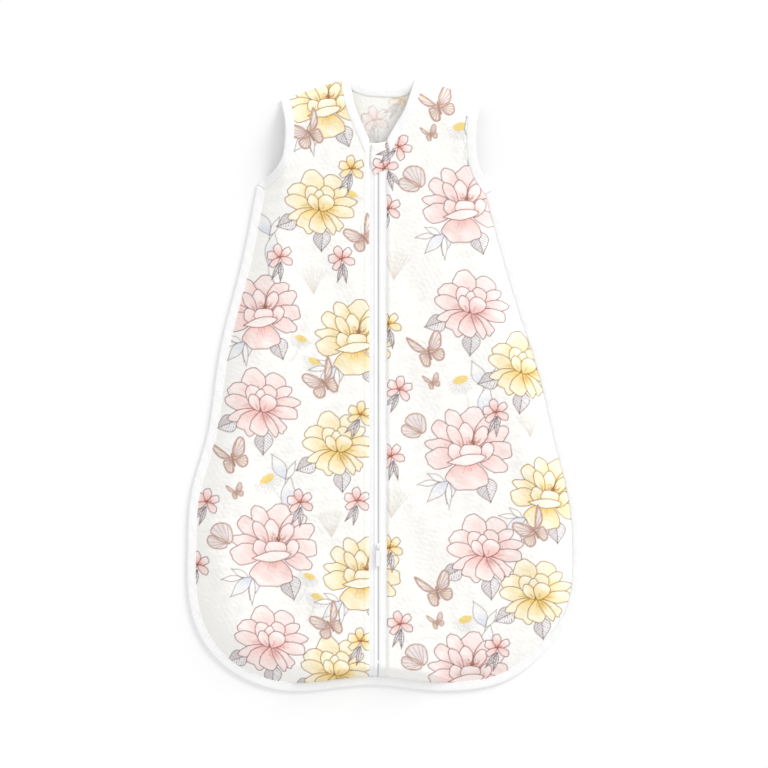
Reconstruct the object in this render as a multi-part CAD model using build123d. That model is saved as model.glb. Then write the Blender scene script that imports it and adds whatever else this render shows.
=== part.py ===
from build123d import *

import math
import os

os.makedirs("parts", exist_ok=True)

# A sleeveless muslin sleeping bag for a baby, lying flat on its back.
# Millimetres. +X is the picture's right-hand side, +Y runs from the feet to
# the neck, +Z comes up out of the front. The origin is the middle of the
# bag's bottom face.

# ---- driving dimensions: the bag in plan ----
bag_length = 760.0  # hem to the top of the shoulders
hem_width = 487.0  # widest place, a little above the foot end
chest_width = 293.0  # across the two underarm points
shoulder_width = 247.0  # across the two shoulder tips
armhole_width = 235.0  # across the narrowest place between the armholes
neck_width = 84.0  # between the two inner shoulder ends
armhole_depth = 108.0  # shoulder tip down to the underarm point
shoulder_drop = 27.0  # inner shoulder end down to the shoulder tip
front_neck_depth = 81.0  # inner shoulder end down to the point of the V
back_neck_depth = 13.0  # inner shoulder end down to the back neck edge
foot_round = 180.0  # height of the rounded corner at the foot end
hem_flat = 220.0  # the nearly straight stretch of the hem
hem_lift = 7.0  # how far the middle of the hem lies above its two lobes
lean = 9.0  # the upper half of the laid bag leans this far towards -X
lean_foot = -60.0  # height in plan at which the lean starts
lean_run = 520.0  # length of the bag over which it comes and goes

# ---- driving dimensions: cloth, binding and the room inside ----
cloth = 1.2  # two crinkled layers of muslin worked as one cloth
binding_width = 11.0
binding_cloth = 0.5  # one leg of the folded binding
binding_fold = 0.8  # the folded outer edge, past the cloth's raw edge
room = 12.0  # clear height inside, under the flat of the front
side_ramp = 40.0  # run over which the front climbs from a side seam
hem_ramp = 14.0  # the same above the hem
shoulder_ramp = 30.0  # the same below a shoulder seam
seam_margin = 1.5  # flat cloth kept inside a binding before the climb
shoulder_seam = 7.0  # flat seam where front and back meet on the shoulder
early_share = 0.35  # part of a ramp's run that is steep
early_rise = 0.65  # part of the room that the steep part climbs
field_share = 1.03  # the level field starts this far past the top of a ramp
climb_cuts = (0.25, 0.50, 0.72, 0.87)  # joints in the climbing edge, underarm to hem

# ---- driving dimensions: the zip ----
zip_x = -7.4  # the zip lies a little off the middle of the laid bag
zip_window = 21.6  # white tape that shows between the two front panels
tape_width = 16.0  # one tape, part of it under the front panel
tape_thick = 0.6
coil_gap = 1.2  # clear slot between the two coils, for the slider's post
coil_width = 1.6
coil_height = 1.3
stop_length = 3.4
stop_grip = 0.2  # a stop stands this far out of the tape and the coil

slider_length = 12.0
slider_width = 7.6
plate_thick = 1.1
slider_play = 0.25  # between the slider and what it runs on
post_length = 3.0
post_inset = 1.0  # the post stands this far in from the slider's neck end
rail_thick = 0.8
rail_inset = 1.5  # the rails end this far short of it
plate_round = 1.2
plate_nose = 0.8  # width of a plate's foot end, as a share of its neck end
pin_share = 0.25  # the pin lies this share of half a slider towards the neck
slider_y = -202.0  # middle of the slider as the bag is laid
bridge_width = 2.0
bridge_thick = 0.8
bridge_room = 4.0  # clear length under the bridge
bridge_sink = 0.2  # the bridge is rooted this deep in the plate

pull_length = 24.0
pull_width = 5.2
pull_thick = 1.1
pull_window = 3.2  # width of the window that the bridge stands in
pin_radius = 0.55
pull_play = 0.25
pull_swing = 1.2  # longer window, so that the tab clears the bridge as it turns

garage_tip = 41.0  # length of the garage, top edge to tip
garage_play = 0.3  # between the garage and the tape and panel beside it
garage_short = 5.8  # width of the window that it leaves free beside the other panel
garage_slope = 4.0  # its top edge drops this far towards its free side
garage_root_share = 0.82  # part of its length that is sewn down
garage_round = (0.55, 0.92)  # a point on its rounded lower edge, across and down
garage_nose = 0.2  # where its tip lies across its reach
garage_side = (0.02, 0.84)  # a point on its free side, across and down

beyond = 30.0  # a cutting shape runs this far past the cloth

# ---- levels ----
back_top = cloth
flat_under = back_top + room  # underside of the front where it lies flat
flat_top = flat_under + cloth
tape_under = flat_under - tape_thick
coil_under = tape_under - coil_height

# ---- lines across the bag ----
top_y = bag_length / 2
hem_y = -bag_length / 2
neck_y = top_y
tip_y = neck_y - shoulder_drop
underarm_y = tip_y - armhole_depth
vee_y = neck_y - front_neck_depth
widest_y = hem_y + foot_round


def laid(side, half, y):
    """A point half a width out from the middle line, which leans as the bag is laid."""
    along = min(1.0, max(0.0, (y - lean_foot) / lean_run))
    return (side * half - lean * math.sin(math.pi * along), y)


def neck_end(side):
    return laid(side, neck_width / 2, neck_y)


def shoulder_tip(side):
    return laid(side, shoulder_width / 2, tip_y)


def armhole_points(side):
    """Shoulder tip to underarm point: a long shallow curve that turns out at the bottom."""
    narrow = armhole_width / 2
    chest = chest_width / 2
    return [
        shoulder_tip(side),
        laid(side, narrow, tip_y - armhole_depth * 0.33),
        laid(side, narrow + 1.5, tip_y - armhole_depth * 0.66),
        laid(side, narrow + (chest - narrow) * 0.40, tip_y - armhole_depth * 0.86),
        laid(side, chest, underarm_y),
    ]


def side_points(side):
    """Underarm point down the flared side and round the corner to the flat of the hem."""
    chest = chest_width / 2
    widest = hem_width / 2
    flare = widest - chest
    run = underarm_y - widest_y
    corner = widest - hem_flat / 2
    return [
        laid(side, chest, underarm_y),
        laid(side, chest + flare * 0.46, underarm_y - run * 0.40),
        laid(side, chest + flare * 0.86, underarm_y - run * 0.78),
        laid(side, widest, widest_y),
        laid(side, widest - corner * 0.13, hem_y + foot_round * 0.42),
        laid(side, widest - corner * 0.50, hem_y + foot_round * 0.125),
        laid(side, hem_flat / 2, hem_y),
    ]


def hem_points():
    left = side_points(-1)[-1]
    right = side_points(1)[-1]
    middle = (0.0, hem_y + hem_lift)
    return [left, middle, right]


def front_neck_points(side):
    """Inner shoulder end down to the side of the zip, bowed out a little."""
    start = neck_end(side)
    finish = (zip_x + side * zip_window / 2, vee_y)
    bow = 4.0 * side
    middle = ((start[0] + finish[0]) / 2 + bow, (start[1] + finish[1]) / 2)
    return [start, middle, finish]


def back_neck_points():
    left = neck_end(-1)
    right = neck_end(1)
    span = right[0] - left[0]
    low = neck_y - back_neck_depth
    return [
        left,
        (left[0] + span * 0.2, low + back_neck_depth * 0.2),
        (left[0] + span * 0.5, low),
        (left[0] + span * 0.8, low + back_neck_depth * 0.2),
        right,
    ]


def shifted(points, amounts):
    """The same open row of points moved to its right-hand side by the given amounts."""
    moved = []
    for i, (x, y) in enumerate(points):
        before = points[max(i - 1, 0)]
        after = points[min(i + 1, len(points) - 1)]
        dx = after[0] - before[0]
        dy = after[1] - before[1]
        length = math.hypot(dx, dy)
        moved.append((x + dy / length * amounts[i], y - dx / length * amounts[i]))
    return moved


def inset(points, amount):
    """The row of points moved into the bag, whichever way round the row runs."""
    right = shifted(points, [amount] * len(points))
    left = shifted(points, [-amount] * len(points))
    middle = len(points) // 2
    centre = (zip_x, -20.0)
    if math.dist(right[middle], centre) < math.dist(left[middle], centre):
        return right
    return left


def curve(points, count):
    """A smooth curve through the given points, as evenly spaced straight runs."""
    smooth = Spline(*points)
    places = [smooth @ (i / count) for i in range(count + 1)]
    return [(place.X, place.Y) for place in places]


def zone(*points):
    return make_face(Polyline(*points, close=True))


def between(face, low, high):
    """A face of the plan made into a solid from one level to another."""
    return extrude(Pos(0, 0, low) * face, high - low)


def block(x_low, x_high, y_low, y_high, z_low, z_high):
    corner = Pos(x_low, y_low, z_low)
    size = Box(x_high - x_low, y_high - y_low, z_high - z_low, align=(Align.MIN,) * 3)
    return corner * size


# ---- the bag in plan ----
sides = {-1: "left", 1: "right"}
armhole_edge = {side: curve(armhole_points(side), 8) for side in sides}
side_edge = {side: curve(side_points(side), 22) for side in sides}
hem_edge = curve(hem_points(), 8)
vee_edge = {side: curve(front_neck_points(side), 4) for side in sides}
back_neck_edge = curve(back_neck_points(), 6)


def plan(neck):
    """The whole outline, closed at the top by the given neck edge, left to right."""
    right = armhole_edge[1] + side_edge[1][1:]
    left = armhole_edge[-1] + side_edge[-1][1:]
    hem = hem_edge[::-1][1:-1]
    return zone(*neck, *right, *hem, *left[::-1])


front_plan = plan(vee_edge[-1] + vee_edge[1][::-1])
back_plan = plan(back_neck_edge)


# ---- the raised front ----
def climb():
    """Where the front starts to climb, and how far it runs before it is flat.

    The row goes once round the bag. At the neck and the armholes nothing is
    sewn, so there the row swings out past the edge, and the front reaches the
    opening at its full height.
    """
    row = []
    flat = binding_width + seam_margin
    for side in (1, -1):
        half = []
        hem_side = side_points(side)
        hem_mid = (0.0, hem_y + hem_lift + flat)
        if side == 1:
            half.append((hem_mid, hem_ramp))
        half.append(((side * hem_flat * 0.3, hem_y + hem_lift * 0.5 + flat), hem_ramp))
        going_up = inset(hem_side, flat)[::-1]
        ramps = [hem_ramp, hem_ramp * 1.6, side_ramp * 0.8] + [side_ramp] * 4
        half += list(zip(going_up, ramps))
        out = armhole_width / 2 + side_ramp + binding_width
        half.append((laid(side, out, tip_y - armhole_depth * 0.45), side_ramp))
        shoulder = [shoulder_tip(side), neck_end(side)]
        for x, y in inset(shoulder, shoulder_seam):
            half.append(((x, y), shoulder_ramp))
        if side == 1:
            half.append((laid(1, 0.0, neck_y + shoulder_ramp), shoulder_ramp))
            row += half
        else:
            row += half[::-1]
    return row


def level_face(share, z):
    """The climbing front cut level, share of the way from the seam to the flat."""
    row = climb()
    points = [place for place, ramp in row]
    count = len(points)
    ring = []
    for i, (x, y) in enumerate(points):
        before = points[i - 1]
        after = points[(i + 1) % count]
        dx = after[0] - before[0]
        dy = after[1] - before[1]
        length = math.hypot(dx, dy)
        step = row[i][1] * share
        ring.append((x - dy / length * step, y + dx / length * step))
    return Pos(0, 0, z) * zone(*ring)


def under(offset):
    """Everything below the front's underside, raised by an offset."""
    low = back_top + offset
    swell = [
        level_face(0.0, low),
        level_face(early_share, low + room * early_rise),
        level_face(1.0, low + room),
    ]
    return loft(swell, ruled=True)


def layer(low, high):
    """A layer of cloth that follows the front, between two offsets from its underside."""
    bottom = between(field, back_top - 2 * cloth, back_top + low) + under(low)
    top = between(field, back_top - 2 * cloth, back_top + high) + under(high)
    return top - bottom


field = zone(
    (-hem_width, hem_y - 2 * beyond), (hem_width, hem_y - 2 * beyond),
    (hem_width, top_y + 2 * beyond), (-hem_width, top_y + 2 * beyond),
)
front_layer = layer(0, cloth)
wrap_layer = layer(-binding_cloth, cloth + binding_cloth)
tape_layer = layer(-tape_thick, 0)


def tall(face):
    """A face of the plan as a solid taller than the bag."""
    return between(face, -cloth, flat_top + 3 * cloth)


# ---- where each binding runs ----
def corner_split(before, corner, after, reach):
    """A point inside a corner, the same distance from both of its edges."""
    ways = []
    for place in (before, after):
        length = math.dist(place, corner)
        ways.append(((place[0] - corner[0]) / length, (place[1] - corner[1]) / length))
    x = ways[0][0] + ways[1][0]
    y = ways[0][1] + ways[1][1]
    length = math.hypot(x, y)
    return (corner[0] + x / length * reach, corner[1] + y / length * reach)


def armhole_zone(side):
    hole = armhole_points(side)
    reach = binding_width * 2
    top = corner_split(neck_end(side), hole[0], hole[1], reach)
    low = corner_split(hole[-2], hole[-1], side_points(side)[1], reach)
    inner = laid(side, armhole_width / 2 - reach, hole[2][1])
    far = side * hem_width
    return zone(hole[0], top, inner, low, hole[-1], (far, hole[-1][1]), (far, hole[0][1]))


def front_neck_zone(side):
    edge = front_neck_points(side)
    reach = binding_width * 2
    top = corner_split(shoulder_tip(side), edge[0], edge[1], reach)
    low = (edge[2][0] + side * reach, edge[2][1] - reach)
    inner = (edge[2][0], edge[2][1] - reach)
    return zone(edge[0], top, low, inner, (edge[2][0], top_y + reach), (edge[0][0], top_y + reach))


def back_neck_zone():
    edge = back_neck_points()
    reach = binding_width * 2
    left = corner_split(shoulder_tip(-1), edge[0], edge[1], reach)
    right = corner_split(shoulder_tip(1), edge[-1], edge[-2], reach)
    low = neck_y - back_neck_depth - reach
    over = top_y + reach
    return zone(
        edge[0], left, (left[0], low), (right[0], low), right, edge[-1],
        (edge[-1][0], over), (edge[0][0], over),
    )


def oblong(x_one, x_two, y_low, y_high):
    return zone((x_one, y_low), (x_two, y_low), (x_two, y_high), (x_one, y_high))


def hem_zone():
    over = hem_y + hem_lift + 2 * binding_width
    return oblong(-hem_flat / 2, hem_flat / 2, hem_y - beyond, over)


def side_zone(side, low, high):
    whole = oblong(0, side * hem_width, low, high)
    return whole - hem_zone() - armhole_zone(side)


def rim(face):
    """The strip along a face's edge that a binding covers."""
    return face - offset(face, -binding_width, kind=Kind.ARC)


front_rim = rim(front_plan)
back_rim = rim(back_plan)
front_raw = offset(front_plan, -binding_fold, kind=Kind.ARC)
back_raw = offset(back_plan, -binding_fold, kind=Kind.ARC)


def flat_binding(strip, raw, high):
    """A folded strip round cloth that lies flat: two legs and the fold between them."""
    whole = between(strip, 0, high + binding_cloth)
    return whole - between(raw, binding_cloth, high)


def raised_binding(strip):
    """The same fold on an edge of the raised front, pressed flat where it meets the back."""
    whole = wrap_layer & between(strip, back_bound, flat_top + 3 * cloth)
    return whole - (front_layer & tall(front_raw))


parts = {}
both_tops = back_top + cloth
back_bound = back_top + binding_cloth
window_left = zip_x - zip_window / 2
window_right = zip_x + zip_window / 2
window = oblong(window_left, window_right, hem_y - beyond, top_y)

# ---- bindings ----
back_strips = {"neck_binding_back": back_rim & back_neck_zone()}
for side, name in sides.items():
    back_strips["armhole_binding_back_" + name] = back_rim & armhole_zone(side)
flat_strips = {"hem_binding": front_rim & hem_zone()}
for side, name in sides.items():
    upper = side_zone(side, widest_y, underarm_y + beyond)
    lower = side_zone(side, hem_y - beyond, widest_y)
    flat_strips["side_binding_" + name] = front_rim & upper
    flat_strips["corner_binding_" + name] = front_rim & lower

for name, strip in back_strips.items():
    parts[name] = flat_binding(strip, back_raw, back_top)
for name, strip in flat_strips.items():
    parts[name] = flat_binding(strip, front_raw, both_tops)
vee_strips = {side: (front_rim & front_neck_zone(side)) - window for side in sides}
for side, name in sides.items():
    parts["armhole_binding_front_" + name] = raised_binding(front_rim & armhole_zone(side))
    parts["neck_binding_front_" + name] = raised_binding(vee_strips[side])


def edge_zones(side):
    """Where the climbing edge of a front panel is cut across, from shoulder to hem."""
    far = side * hem_width
    run = underarm_y - hem_y
    levels = [top_y + beyond, underarm_y + armhole_depth / 2]
    levels += [underarm_y - run * share for share in climb_cuts]
    names = ("shoulder", "chest", "waist", "hip", "thigh")
    zones = {}
    for name, high, low in zip(names, levels[:-1], levels[1:]):
        zones[name] = oblong(0, far, low, high)
    foot = hem_y - beyond
    zones["corner"] = oblong(side * hem_flat / 2, far, foot, levels[-1])
    zones["hem"] = oblong(zip_x, side * hem_flat / 2, foot, levels[-1])
    return zones


# ---- panels: each front one is a level field and the lengths of its climbing edge ----
level_field = tall(level_face(field_share, 0))
back_cloth = between(back_raw, 0, back_top)
for strip in list(back_strips.values()) + list(flat_strips.values()):
    back_cloth -= between(strip, 0, binding_cloth)
parts["back_panel"] = back_cloth
for side, name in sides.items():
    half = oblong(zip_x, side * hem_width, hem_y - beyond, top_y)
    panel = front_layer & tall((front_raw & half) - window)
    for strip in back_strips.values():
        panel -= between(strip, back_top, back_bound)
    for strip in flat_strips.values():
        panel -= between(strip, both_tops, flat_top)
    parts["front_panel_" + name] = panel & level_field
    edge = panel - level_field
    for stretch, place in edge_zones(side).items():
        parts["front_" + stretch + "_" + name] = edge & tall(place)

# ---- zip: stops, tapes and coils ----
zip_top = vee_y - 2.0
stop_top = zip_top - 3.0
zip_foot = hem_y + hem_lift + binding_width
flat_foot = zip_foot + seam_margin + hem_ramp
bottom_stop_y = flat_foot + 2.0
coil_half = coil_gap / 2 + coil_width
stop_low = coil_under - stop_grip
stop_high = flat_under + stop_grip

for side, name in sides.items():
    inner = zip_x + side * coil_gap / 2
    outer = inner + side * (coil_width + stop_grip)
    parts["top_stop_" + name] = block(
        min(inner, outer), max(inner, outer), stop_top - stop_length, stop_top, stop_low, stop_high
    )
parts["bottom_stop"] = block(
    zip_x - coil_half - stop_grip, zip_x + coil_half + stop_grip,
    bottom_stop_y, bottom_stop_y + stop_length, stop_low, stop_high,
)
stops = [parts["top_stop_left"], parts["top_stop_right"], parts["bottom_stop"]]
for side, name in sides.items():
    inner = zip_x + side * coil_gap / 2
    outer = inner + side * tape_width
    strip = zone((inner, zip_foot), (outer, zip_foot), (outer, zip_top), (inner, zip_top))
    tape = tape_layer & between(strip - vee_strips[side], back_top, flat_top)
    parts["zip_tape_" + name] = tape - stops
    outer = inner + side * coil_width
    parts["zip_coil_" + name] = block(
        min(inner, outer), max(inner, outer),
        bottom_stop_y + stop_length, stop_top - stop_length, coil_under, tape_under,
    )

# ---- slider ----
plate_low = flat_under + slider_play
plate_top = plate_low + plate_thick
keel_top = coil_under - slider_play
keel_low = keel_top - plate_thick
half_wide = slider_width / 2
half_long = slider_length / 2
pin_y = slider_y + half_long * pin_share
pin_z = plate_top + pull_play + pin_radius
bridge_under = pin_z + pin_radius + pull_play
bridge_top = bridge_under + bridge_thick


def plate(low, high, nose):
    """A slider plate: straight sides, round shoulders at the neck end, a narrower foot end."""
    outline = zone(
        (zip_x - half_wide * nose, slider_y - half_long), (zip_x + half_wide * nose, slider_y - half_long),
        (zip_x + half_wide, slider_y), (zip_x + half_wide, slider_y + half_long),
        (zip_x - half_wide, slider_y + half_long), (zip_x - half_wide, slider_y),
    )
    return between(fillet(outline.vertices(), plate_round), low, high)


top_plate = plate(plate_low, plate_top, plate_nose)
keel = plate(keel_low, keel_top, plate_nose)
post_end = slider_y + half_long - post_inset
post = block(
    zip_x - coil_gap / 2 + slider_play, zip_x + coil_gap / 2 - slider_play,
    post_end - post_length, post_end, keel_low, plate_top,
)
slider = top_plate + keel + post
for side in sides:
    rail_out = zip_x + side * half_wide
    rail_in = rail_out - side * rail_thick
    slider += block(
        min(rail_in, rail_out), max(rail_in, rail_out), slider_y, slider_y + half_long - rail_inset,
        keel_low, tape_under - slider_play,
    )
bridge_half = bridge_room / 2 + bridge_thick
bridge = block(
    zip_x - bridge_width / 2, zip_x + bridge_width / 2,
    pin_y - bridge_half, pin_y + bridge_half, plate_top - bridge_sink, bridge_top,
)
bridge = fillet(bridge.edges().filter_by(Axis.X).group_by(Axis.Z)[-1], bridge_thick * 0.9)
bridge -= block(
    zip_x - bridge_width, zip_x + bridge_width,
    pin_y - bridge_room / 2, pin_y + bridge_room / 2, plate_top - bridge_sink, bridge_under,
)
parts["slider_body"] = slider + bridge

# ---- pull tab ----
window_end = bridge_half + pull_play + pull_swing
pull_low = pin_z - pull_thick / 2
pull_face = zone(
    (zip_x - pull_width / 2, pin_y - pull_length), (zip_x + pull_width / 2, pin_y - pull_length),
    (zip_x + pull_width / 2, pin_y + pin_radius), (zip_x - pull_width / 2, pin_y + pin_radius),
)
pull_face = fillet(pull_face.vertices().group_by(Axis.Y)[0], pull_width * 0.45)
pull = between(pull_face, pull_low, pull_low + pull_thick)
pull -= block(
    zip_x - pull_window / 2, zip_x + pull_window / 2,
    pin_y - window_end, pin_y + 2 * pin_radius, pull_low - pull_thick, pull_low + 2 * pull_thick,
)
pin = Pos(zip_x, pin_y, pin_z) * Rot(0, 90, 0) * Cylinder(pin_radius, pull_width)
parts["pull_tab"] = pull + pin

# ---- garage: the flap over the top end of the zip ----
garage_low = flat_under + garage_play
garage_root = window_right - garage_play
garage_reach = zip_window - garage_short
garage_left = garage_root - garage_reach
garage_top = vee_y - garage_slope
sewn_end = (garage_root, vee_y - garage_tip * garage_root_share)
tip = (garage_left + garage_reach * garage_nose, vee_y - garage_tip)
garage_edges = [
    Polyline((garage_left, garage_top), (garage_root, vee_y), sewn_end),
    Spline(
        sewn_end,
        (garage_left + garage_reach * garage_round[0], vee_y - garage_tip * garage_round[1]),
        tip,
    ),
    Spline(
        tip,
        (garage_left + garage_reach * garage_side[0], vee_y - garage_tip * garage_side[1]),
        (garage_left, garage_top),
    ),
]
parts["zip_garage"] = between(make_face(garage_edges), garage_low, garage_low + cloth)

for name, piece in parts.items():
    export_step(piece, "parts/" + name + ".step")
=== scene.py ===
import math

import bpy
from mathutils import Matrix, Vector
import numpy as np


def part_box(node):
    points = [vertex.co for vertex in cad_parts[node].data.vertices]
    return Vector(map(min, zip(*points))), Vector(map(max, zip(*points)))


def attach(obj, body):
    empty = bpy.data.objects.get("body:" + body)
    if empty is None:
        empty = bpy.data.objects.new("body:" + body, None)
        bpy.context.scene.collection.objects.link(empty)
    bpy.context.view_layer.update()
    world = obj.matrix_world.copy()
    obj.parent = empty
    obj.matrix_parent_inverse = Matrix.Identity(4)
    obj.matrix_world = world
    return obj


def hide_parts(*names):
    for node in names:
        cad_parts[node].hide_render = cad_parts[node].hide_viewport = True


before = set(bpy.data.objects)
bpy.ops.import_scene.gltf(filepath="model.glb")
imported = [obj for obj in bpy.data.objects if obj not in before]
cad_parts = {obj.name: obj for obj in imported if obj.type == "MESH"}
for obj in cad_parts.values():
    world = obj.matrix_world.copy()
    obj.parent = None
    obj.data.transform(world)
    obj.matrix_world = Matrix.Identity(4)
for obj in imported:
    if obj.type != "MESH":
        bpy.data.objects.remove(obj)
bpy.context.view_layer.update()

# A muslin sleeping bag laid flat on its back. Lengths below are in millimetres
# and become metres in new_piece(). -X is the left-hand side as seen from above.
MM = 0.001
# The binding's wall and leg, and the muslin's thickness.
WALL = 0.5
BINDING = 11.0
CLOTH = 0.8


def node_box(name):
    """A CAD node's lowest and highest corners, in millimetres."""
    low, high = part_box(name)
    return np.array(low) / MM, np.array(high) / MM


# ---- levels and lines taken from the frame ----
panel_low, panel_high = node_box("front_panel_right")
tape_low, tape_high = node_box("zip_tape_left")
garage_low, garage_high = node_box("zip_garage")
side_low, side_high = node_box("side_binding_left")
ZIP_X = (tape_high[0] + node_box("zip_tape_right")[0][0]) / 2
WINDOW = {-1: node_box("front_panel_left")[1][0], 1: panel_low[0]}
BACK_TOP = node_box("back_panel")[1][2]
SEAM_TOP = side_high[2] - WALL
ROOM = panel_high[2] - SEAM_TOP
VEE_Y = garage_high[1]

# ---- the bag's edges as it lies, each a smooth curve through a few points ----
SHOULDER = {
    -1: [(-43, 379), (-86, 366), (-127.5, 351)],
    1: [(39, 377.5), (79, 366.5), (119.5, 352)],
}
ARMHOLE = {
    -1: [(-127.5, 351), (-121.5, 325), (-121.5, 301), (-126, 277), (-140, 259), (-157, 246)],
    1: [(119.5, 352), (113.5, 325), (112, 300), (115, 272), (123.5, 254), (135, 239)],
}
SIDE = {
    -1: [(-157, 246), (-177, 145), (-205, 29), (-220, -69), (-238, -132), (-243, -205),
         (-238, -285), (-212, -335), (-166, -368), (-121, -380)],
    1: [(135, 239), (158, 154), (181, 79), (204, 5), (221, -69), (239, -144),
        (244, -218), (234, -283), (203, -327), (154, -366), (94, -379.5)],
}
HEM = [(-121, -380), (-66, -377), (-7, -372.6), (42, -378), (94, -379.5)]
VEE = {
    -1: [(-43, 379), (-39, 352), (-32, 330), (-24, 312), (WINDOW[-1], VEE_Y)],
    1: [(39, 377.5), (33, 358), (24, 335), (12, 315), (WINDOW[1], VEE_Y)],
}
BACK_NECK = [(-43, 379), (-28, 369.5), (-2, 366), (24, 367.5), (39, 377.5)]


def smooth(points, step=3.0):
    """A natural cubic curve through the points, sampled about every step millimetres."""
    p = np.array(points, dtype=float)
    run = np.concatenate([[0.0], np.cumsum(np.hypot(*np.diff(p, axis=0).T))])
    h = np.diff(run)
    count = len(p)
    rows = np.eye(count)
    right = np.zeros((count, 2))
    for i in range(1, count - 1):
        rows[i, i - 1:i + 2] = h[i - 1], 2 * (h[i - 1] + h[i]), h[i]
        right[i] = 3 * ((p[i + 1] - p[i]) / h[i] - (p[i] - p[i - 1]) / h[i - 1])
    c = np.linalg.solve(rows, right)
    at = np.linspace(0, run[-1], max(3, int(run[-1] / step) + 1))
    k = np.clip(np.searchsorted(run, at, side="right") - 1, 0, count - 2)
    d = (at - run[k])[:, None]
    span = h[k][:, None]
    slope = (p[k + 1] - p[k]) / span - span * (2 * c[k] + c[k + 1]) / 3
    return p[k] + slope * d + c[k] * d ** 2 + (c[k + 1] - c[k]) / (3 * span) * d ** 3


def nearest(xy, line):
    """Distance from each point to a row of points, and the nearest place on it."""
    best = np.full(len(xy), 1e9)
    place = np.zeros_like(xy)
    for a, b in zip(line[:-1], line[1:]):
        along = b - a
        t = np.clip(((xy - a) @ along) / max(along @ along, 1e-12), 0, 1)
        foot = a + t[:, None] * along
        gap = np.hypot(*(xy - foot).T)
        closer = gap < best
        best[closer] = gap[closer]
        place[closer] = foot[closer]
    return best, place


def inside(xy, ring):
    """Whether each point lies inside a closed row of points."""
    odd = np.zeros(len(xy), dtype=bool)
    x, y = xy.T
    for (ax, ay), (bx, by) in zip(ring, np.roll(ring, -1, axis=0)):
        if ay == by:
            continue
        crosses = ((ay > y) != (by > y)) & (x < (bx - ax) * (y - ay) / (by - ay) + ax)
        odd ^= crosses
    return odd


def ease(t):
    t = np.clip(t, 0, 1)
    return t * t * (3 - 2 * t)


def swell(at, middle, spread):
    """A soft hump, 1 at its middle."""
    return np.exp(-((at - middle) / spread) ** 2)


# Each seam, how far the front stays down beside it, and how far it then takes to come level.
SEAM_STEP = 7
SEAM_RAMPS = [
    (smooth(SIDE[-1], SEAM_STEP), BINDING, 42.0),
    (smooth(SIDE[1], SEAM_STEP), BINDING, 42.0),
    (smooth(HEM, SEAM_STEP), BINDING, 15.0),
    (smooth(SHOULDER[-1], SEAM_STEP), 4.0, 34.0),
    (smooth(SHOULDER[1], SEAM_STEP), 4.0, 34.0),
]
CALM_BY_ZIP = 12
CALM_FADES_OVER = 40
RIPPLE_BY_ZIP = 0.35
draw = np.random.RandomState(11)


def waves(count, short, long, height):
    """Plane waves at random angles: the cloth's folds, and the print's mottle, are their sums."""
    rows = []
    for _ in range(count):
        length = draw.uniform(short, long)
        angle = draw.uniform(0, 2 * math.pi)
        phase = draw.uniform(0, 2 * math.pi)
        rows.append((angle, length, phase, height * draw.uniform(0.5, 1.0)))
    return rows


FOLDS = waves(7, 70, 190, 0.55)
RIPPLES = waves(9, 16, 42, 0.11)
CRINKLES = waves(12, 4.5, 9, 0.032)
WASH = waves(6, 9, 30, 0.11)


def wave_sum(x, y, rows):
    total = np.zeros_like(x)
    for angle, length, phase, height in rows:
        across = x * math.cos(angle) + y * math.sin(angle)
        total += height * np.sin(2 * math.pi * across / length + phase)
    return total


def rise(xy):
    """How far up its climb the front is: 0 on a seam, 1 where it lies level."""
    share = np.ones(len(xy))
    for line, flat, ramp in SEAM_RAMPS:
        gap = nearest(xy, line)[0]
        share = np.minimum(share, np.clip((gap - flat) / ramp, 0, 1))
    return 1 - (1 - share) ** 2


def front_top(xy):
    """Height of the front's outer face over each point of the plan."""
    x, y = xy.T
    share = rise(xy)
    beside_zip = ease((np.abs(x - ZIP_X) - CALM_BY_ZIP) / CALM_FADES_OVER)
    uneven = wave_sum(x, y, FOLDS) * beside_zip * share
    uneven += wave_sum(x, y, RIPPLES) * (RIPPLE_BY_ZIP + (1 - RIPPLE_BY_ZIP) * beside_zip)
    uneven += wave_sum(x, y, CRINKLES)
    return SEAM_TOP + ROOM * share + uneven * ease(share * 3 + 0.25)


# ---- meshes ----
def placed(name, data):
    """An object that shows some data, in the scene."""
    thing = bpy.data.objects.new(name, data)
    bpy.context.scene.collection.objects.link(thing)
    return thing


def new_piece(name, points, faces, body, materials, colours=None, index=None):
    """A mesh object from millimetre points, riding on a body."""
    mesh = bpy.data.meshes.new(name)
    mesh.from_pydata((np.asarray(points) * MM).tolist(), [], faces)
    for material in materials:
        mesh.materials.append(material)
    if index is not None:
        mesh.polygons.foreach_set("material_index", np.asarray(index, dtype=np.int32))
    if colours is not None:
        layer = mesh.color_attributes.new("print", "FLOAT_COLOR", "POINT")
        rgba = np.ones((len(points), 4), dtype=np.float32)
        rgba[:, :3] = linear(colours)
        layer.data.foreach_set("color", rgba.ravel())
    mesh.polygons.foreach_set("use_smooth", np.ones(len(mesh.polygons), dtype=bool))
    mesh.update()
    piece = placed(name, mesh)
    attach(piece, body)
    return piece


def linear(rgb):
    """Display colours, 0 to 1, as scene-linear ones."""
    rgb = np.clip(rgb, 0, 1)
    return np.where(rgb <= 0.04045, rgb / 12.92, ((rgb + 0.055) / 1.055) ** 2.4)


def flat_map(piece, low, high):
    """A map straight down onto the cloth, for a piece that has one face to show."""
    mesh = piece.data
    layer = mesh.uv_layers.new(name="OFBake")
    corner = np.empty(len(mesh.loops), dtype=np.int32)
    mesh.loops.foreach_get("vertex_index", corner)
    co = np.empty(len(mesh.vertices) * 3)
    mesh.vertices.foreach_get("co", co)
    plan = co.reshape(-1, 3)[:, :2] / MM
    span = max(high[0] - low[0], high[1] - low[1]) * 1.01
    uv = (plan - np.array(low[:2])) / span + 0.004
    layer.data.foreach_set("uv", uv[corner].ravel().astype(np.float32))


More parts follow.
